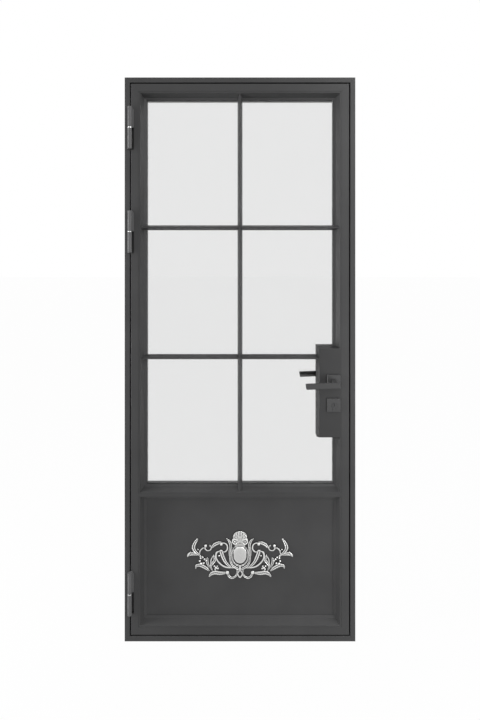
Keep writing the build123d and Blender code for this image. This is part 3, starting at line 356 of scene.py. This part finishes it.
def foam(name, low, high):
    """Rigid foam with small open cells."""
    material, tree, shader = new_material(name)
    tone = ramp(tree, noise(tree, 500.0, 4.0), [(0.35, low), (0.65, high)])
    tree.links.new(tone, shader.inputs["Base Color"])
    shader.inputs["Roughness"].default_value = 0.9
    finish_surface(tree, shader, noise(tree, 700.0, 4.0), strength=0.5, distance=0.0006)
    return material


def clear_glass(name):
    """Clear float glass that lets light through to what stands behind it."""
    material, tree, shader = new_material(name)
    shader.inputs["Base Color"].default_value = GLASS_COLOR
    shader.inputs["Roughness"].default_value = 0.0
    shader.inputs["IOR"].default_value = GLASS_IOR
    shader.inputs["Transmission Weight"].default_value = 1.0
    shadow_ray = node(tree, "ShaderNodeLightPath").outputs["Is Shadow Ray"]
    clear = node(tree, "ShaderNodeBsdfTransparent", Color=GLASS_SHADOW)
    glass, shadow = shader.outputs["BSDF"], clear.outputs["BSDF"]
    mix_shaders(tree, shadow_ray, glass, shadow, "Material Output")
    return material


def antique_silver(name):
    """Cast silver finish: bright on the raised parts, dark patina in the hollows."""
    material, tree, shader = new_material(name)
    worn = node(tree, "ShaderNodeAttribute", attribute_name="relief").outputs["Fac"]
    mottle = node(tree, "ShaderNodeMath", operation="MULTIPLY_ADD")
    mottle.inputs[1].default_value = SILVER_MOTTLE
    tree.links.new(noise(tree, 260.0, 4.0), mottle.inputs[0])
    tree.links.new(worn, mottle.inputs[2])
    stops = [(0.3, grey(0.03)), (0.6, grey(0.2)), (0.9, (0.68, 0.68, 0.67))]
    tone = ramp(tree, mottle.outputs["Value"], stops)
    tree.links.new(tone, shader.inputs["Base Color"])
    gloss = ramp(tree, worn, [(0.1, grey(0.62)), (0.8, grey(0.36))])
    tree.links.new(gloss, shader.inputs["Roughness"])
    shader.inputs["Metallic"].default_value = 0.85
    finish_surface(tree, shader, noise(tree, 700.0, 4.0), strength=0.3, distance=0.0003)
    return material


finishes = {
    "frame_paint": paint("frame_paint", ANTHRACITE),
    "leaf_paint": paint("leaf_paint", ANTHRACITE),
    "box_paint": paint("box_paint", tuple(c * 0.8 for c in ANTHRACITE)),
    "hinge_steel": paint("hinge_steel", tuple(c * 2.2 for c in ANTHRACITE), 0.34),
    "washer_steel": metal("washer_steel", grey(0.62), 0.3),
    "hardware": paint("hardware", tuple(c * 1.2 for c in ANTHRACITE), 0.33, 0.05),
    "lock_steel": metal("lock_steel", grey(0.5), 0.35),
    "glass": clear_glass("glass"),
    "gasket": rubber("gasket", 0.02),
    "spacer": metal("spacer", grey(0.09), 0.5),
    "core": foam("core", (0.55, 0.52, 0.42), (0.82, 0.8, 0.7)),
    "ornament_silver": antique_silver("ornament_silver"),
}


def dress_nodes():
    """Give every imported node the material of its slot."""
    for part in frame["record"]["subparts"]:
        piece = frame["nodes"][part["node"]]
        piece.data.materials.clear()
        piece.data.materials.append(finishes[part["material_slot"]])


# The ornament's relief, as a field of heights over a grid
def middle_line(points):
    """Points close together along a smooth curve through the given ones."""
    given = np.array(points, float)
    given = np.vstack([2 * given[0] - given[1], given, 2 * given[-1] - given[-2]])
    runs = []
    for a, b, c, d in zip(given, given[1:], given[2:], given[3:]):
        count = max(2, int(np.linalg.norm(c - b) / MIDDLE_STEP))
        t = np.linspace(0, 1, count, endpoint=False)[:, None]
        square, cube = t * t, t * t * t
        runs.append(0.5 * (2 * b + (c - a) * t + (2 * a - 5 * b + 4 * c - d) * square
                           + (3 * b - a - 3 * c + d) * cube))
    return np.vstack(runs + [given[-2][None]])


class Relief:
    """A height field over a grid: metal height, and how far inside an outline it is."""

    def __init__(self, x, z):
        self.x, self.z = x, z
        self.height = np.zeros(x.shape)
        self.inside = np.full(x.shape, FAR_OUTSIDE)

    def lay(self, inside, height):
        """Put a form on the field; inside is in millimetres, above 0 within it."""
        self.inside = np.maximum(self.inside, inside)
        self.height = np.maximum(self.height, np.where(inside > 0, height, 0))

    def stroke(self, points, widths, rise, groove):
        """A tapering, rounded stroke, with a groove and ripples where it is a leaf."""
        line = middle_line(points)
        share = np.linspace(0, 1, len(line))
        half = np.interp(share, np.linspace(0, 1, len(widths)), widths) * STROKE_FULLNESS
        reach = half.max() + 2 * RELIEF_STEP
        near = (
            (self.x > line[:, 0].min() - reach) & (self.x < line[:, 0].max() + reach)
            & (self.z > line[:, 1].min() - reach) & (self.z < line[:, 1].max() + reach)
        )
        spots = np.stack([self.x[near], self.z[near]], 1)
        gaps = np.linalg.norm(spots[:, None] - line[None], axis=2)
        at = (gaps - half[None]).argmin(1)
        away = gaps[np.arange(len(spots)), at]
        width = half[at]
        u = np.clip(away / width, 0, 1)
        body = RELIEF_WALL + (1 - RELIEF_WALL) * np.sqrt(1 - u * u)
        body *= 1 - groove * np.exp(-((u / GROOVE_SHARE) ** 2))
        if groove:
            turn = at * MIDDLE_STEP / RIPPLE_LENGTH + u * RIPPLE_SLANT
            body *= 1 + LEAF_RIPPLE * u * np.sin(2 * math.pi * turn)
        inside, height = np.full(self.x.shape, FAR_OUTSIDE), np.zeros(self.x.shape)
        inside[near] = width - away
        height[near] = rise * body * (THIN_SHARE + (1 - THIN_SHARE) * width / half.max())
        self.lay(inside, height)

    def dome(self, x, z, rx, rz, rise, foot=RELIEF_WALL, power=ROUND_POWER):
        """A domed ellipse, squarer with a higher power."""
        out = (abs((self.x - x) / rx) ** power + abs((self.z - z) / rz) ** power) ** (1 / power)
        top = foot + (1 - foot) * np.sqrt(np.clip(1 - out * out, 0, 1))
        self.lay((1 - out) * min(rx, rz), rise * top)


def pebbles(x, z):
    """Small round pebbles in staggered rows, each a little off its place."""
    row_pitch = PEBBLE_PITCH * PEBBLE_ROW
    row = np.round(z / row_pitch)
    shift = np.where(row % 2 == 0, 0.0, PEBBLE_PITCH / 2)
    column = np.round((x - shift) / PEBBLE_PITCH)
    stray_x = PEBBLE_STRAY * np.sin(row * 12.9 + column * 78.2)
    stray_z = PEBBLE_STRAY * np.sin(row * 39.4 + column * 27.1)
    away_x = x - shift - column * PEBBLE_PITCH - stray_x
    away_z = z - row * row_pitch - stray_z
    away = np.hypot(away_x, away_z)
    return PEBBLE_RISE * np.sqrt(np.clip(1 - (away / PEBBLE_R) ** 2, 0, 1))


def ornament_field(x, z):
    """The whole ornament's relief over the grid's left half."""
    relief = Relief(x, z)
    relief.dome(*SHELL, SHELL_RISE)
    relief.height += np.where(relief.inside > SHELL_RIM, pebbles(x, z), 0)

    vx, vz, outer, middle = VOLUTE
    away = np.hypot(x - vx, z - vz)
    eye, ring = (middle * share for share in RING_SHARES)
    relief.dome(vx, vz, outer, outer, VOLUTE_RISE, VOLUTE_FOOT)
    relief.height = np.where((away > eye) & (away < ring), RING_FLOOR, relief.height)
    relief.dome(vx, vz, eye, eye, EYE_RISE)

    nx, nz, width, height = NECK
    depth = np.minimum(width / 2 - abs(x - nx), height / 2 - abs(z - nz))
    relief.lay(depth, NECK_RISE + NECK_RIB * np.cos(2 * math.pi * (z - nz) / NECK_PITCH))

    moat = np.hypot(x / (SHIELD_RX + MOAT_W), z / (SHIELD_RZ + MOAT_W)) < 1
    relief.height = np.where(moat & (relief.height > 0), MOAT_FLOOR, relief.height)
    power = np.where(z > 0, SHIELD_POWER, ROUND_POWER)
    relief.dome(0, 0, SHIELD_RX, SHIELD_RZ, SHIELD_RISE, SHIELD_FOOT, power)

    for points, widths, rise, groove in STROKES.values():
        relief.stroke(points, widths, rise, groove)
    for bx, bz, radius in BERRIES:
        full = radius * BERRY_FULLNESS
        relief.dome(bx, bz, full, full, min(BERRY_TOP, radius + BERRY_OVER), BERRY_FOOT)
    return relief


def spread(field, reach):
    """The field's mean over a square of cells round each point."""
    total = np.zeros(field.shape)
    for dx in range(-reach, reach + 1):
        for dz in range(-reach, reach + 1):
            total += np.roll(np.roll(field, dx, 1), dz, 0)
    return total / (2 * reach + 1) ** 2


def mirrored(field):
    """Add the right half to a field that ends in the middle column."""
    return np.hstack([field, field[:, -2::-1]])


def patina(held, height):
    """How bright the silver is at each point, from 0 to 1."""
    metal_near = np.maximum(spread(held * 1.0, HOLLOW_REACH), LEAST_METAL)
    hollow = height - spread(height, HOLLOW_REACH) / metal_near
    lift = PATINA_RISE * np.minimum(height, PATINA_TOP)
    return np.clip(PATINA_BASE + lift + hollow / HOLLOW_DEPTH, 0, 1)


def build_ornament():
    """The cast ornament as one closed mesh on the kick panel."""
    half = np.arange(-math.ceil(GRID_LEFT / RELIEF_STEP), 1) * RELIEF_STEP
    lowest, highest = math.ceil(GRID_DOWN / RELIEF_STEP), math.ceil(GRID_UP / RELIEF_STEP)
    rows = np.arange(-lowest, highest) * RELIEF_STEP
    relief = ornament_field(*np.meshgrid(half, rows))
    inside, height = mirrored(relief.inside), mirrored(relief.height)
    x, z = np.meshgrid(np.concatenate([half, -half[-2::-1]]), rows)

    # Points just outside an outline move onto it, so that edges are smooth
    slope_z, slope_x = np.gradient(inside, RELIEF_STEP)
    steep = np.maximum(slope_x ** 2 + slope_z ** 2, LEAST_SLOPE)
    outside = inside <= 0
    x = np.where(outside, x - np.clip(inside * slope_x / steep, -RELIEF_STEP, RELIEF_STEP), x)
    z = np.where(outside, z - np.clip(inside * slope_z / steep, -RELIEF_STEP, RELIEF_STEP), z)

    # A cell with any corner in the metal is used; the back repeats only the held points
    held = inside > 0
    cell = held[:-1, :-1] | held[1:, :-1] | held[:-1, 1:] | held[1:, 1:]
    used = np.zeros(held.shape, bool)
    for dz in (0, 1):
        for dx in (0, 1):
            used[dz:dz + cell.shape[0], dx:dx + cell.shape[1]] |= cell
    top = -np.ones(held.shape, int)
    top[used] = np.arange(used.sum())
    back = top.copy()
    back[held] = used.sum() + np.arange(held.sum())

    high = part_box("ornament")[1]
    middle_z = high[2] - (SHELL[1] + SHELL[3]) * MM
    place = np.stack([x * MM, high[1] - height * MM, z * MM + middle_z], 2)
    flat = place.copy()
    flat[..., 1] = high[1]
    spots = np.vstack([place[used], flat[held]])
    iz, ix = np.nonzero(cell)

    def quads(index, turned):
        corners = [index[iz, ix], index[iz, ix + 1], index[iz + 1, ix + 1], index[iz + 1, ix]]
        return np.stack(corners[::-1] if turned else corners, 1)

    faces = np.vstack([quads(top, False), quads(back, True)])
    mesh = bpy.data.meshes.new("cast_ornament")
    mesh.from_pydata(spots.tolist(), [], faces.tolist())
    mesh.update()
    worn = mesh.attributes.new("relief", "FLOAT", "POINT")
    level = np.concatenate([patina(held, height)[used], np.zeros(held.sum())])
    worn.data.foreach_set("value", level.astype(np.float32))
    mesh.polygons.foreach_set("use_smooth", [True] * len(mesh.polygons))

    piece = bpy.data.objects.new("cast_ornament", mesh)
    bpy.context.collection.objects.link(piece)
    piece.data.materials.append(finishes["ornament_silver"])
    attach(piece, "leaf")
    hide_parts("ornament")


# The floor, the light round the door and the camera
def sees_backdrop(tree):
    """1 for rays that should meet the white studio: the camera's, and those in metal and glass."""
    path = node(tree, "ShaderNodeLightPath")
    seen = path.outputs["Is Camera Ray"]
    for ray in ("Is Transmission Ray", "Is Glossy Ray"):
        either = node(tree, "ShaderNodeMath", operation="MAXIMUM")
        tree.links.new(seen, either.inputs[0])
        tree.links.new(path.outputs[ray], either.inputs[1])
        seen = either.outputs["Value"]
    return seen


def build_floor():
    """A plain pale floor: white to the eye, with the door's shadow on it."""
    bpy.ops.mesh.primitive_plane_add(size=FLOOR_SIZE, location=(0, 0, 0))
    floor = bpy.context.object
    floor.name = "floor"
    material, tree, shader = new_material("floor")
    shader.inputs["Base Color"].default_value = (*grey(FLOOR_TONE), 1.0)
    shader.inputs["Roughness"].default_value = FLOOR_ROUGHNESS
    shader.inputs["Specular IOR Level"].default_value = FLOOR_SPECULAR
    glow = node(tree, "ShaderNodeEmission", Color=(*grey(1.0), 1.0), Strength=GLOW_STRENGTH)
    share = node(tree, "ShaderNodeMath", operation="MULTIPLY")
    share.inputs[1].default_value = FLOOR_GLOW
    tree.links.new(sees_backdrop(tree), share.inputs[0])
    plain, white = shader.outputs["BSDF"], glow.outputs["Emission"]
    mix_shaders(tree, share.outputs["Value"], plain, white, "Material Output")
    floor.data.materials.append(material)


def build_world():
    """White behind the door for the camera, metal and glass, softer light for the rest."""
    world = bpy.data.worlds.new("studio")
    bpy.context.scene.world = world
    world.use_nodes = True
    tree = world.node_tree
    plain = tree.nodes["Background"]
    plain.inputs["Color"].default_value = (*grey(1.0), 1.0)
    plain.inputs["Strength"].default_value = WORLD_STRENGTH
    white = node(tree, "ShaderNodeBackground", Color=(*grey(1.0), 1.0), Strength=1.0)
    soft, bright = plain.outputs["Background"], white.outputs["Background"]
    mix_shaders(tree, sees_backdrop(tree), soft, bright, "World Output")


def build_lamp(name, place, target, size, power):
    """A soft rectangular lamp aimed at a point, out of sight of the camera."""
    light = bpy.data.lights.new(name, "AREA")
    light.shape = "RECTANGLE"
    light.size, light.size_y = size
    light.energy = power
    lamp = bpy.data.objects.new(name, light)
    bpy.context.collection.objects.link(lamp)
    lamp.location = place
    lamp.rotation_euler = (Vector(target) - Vector(place)).to_track_quat("-Z", "Y").to_euler()
    lamp.visible_camera = False
    lamp.visible_transmission = False
    lamp.visible_glossy = place[1] > -FAR_LAMP


def build_camera():
    """A level camera straight in front of the door, its frame shifted down."""
    lens = bpy.data.cameras.new("camera")
    lens.lens = LENS
    lens.sensor_width = SENSOR
    lens.shift_y = IMAGE_DROP
    lens.clip_end = CAMERA_REACH
    camera = bpy.data.objects.new("camera", lens)
    bpy.context.collection.objects.link(camera)
    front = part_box("jamb_hinge_side")[0][1]
    camera.location = (0.0, front - CAMERA_DISTANCE, CAMERA_HEIGHT)
    camera.rotation_euler = (math.radians(90), 0, 0)
    bpy.context.scene.camera = camera


dress_nodes()
build_ornament()
bpy.context.scene.view_settings.view_transform = "Standard"
build_floor()
build_world()
for lamp_name, settings in LAMPS.items():
    build_lamp(lamp_name, *settings)
build_camera()
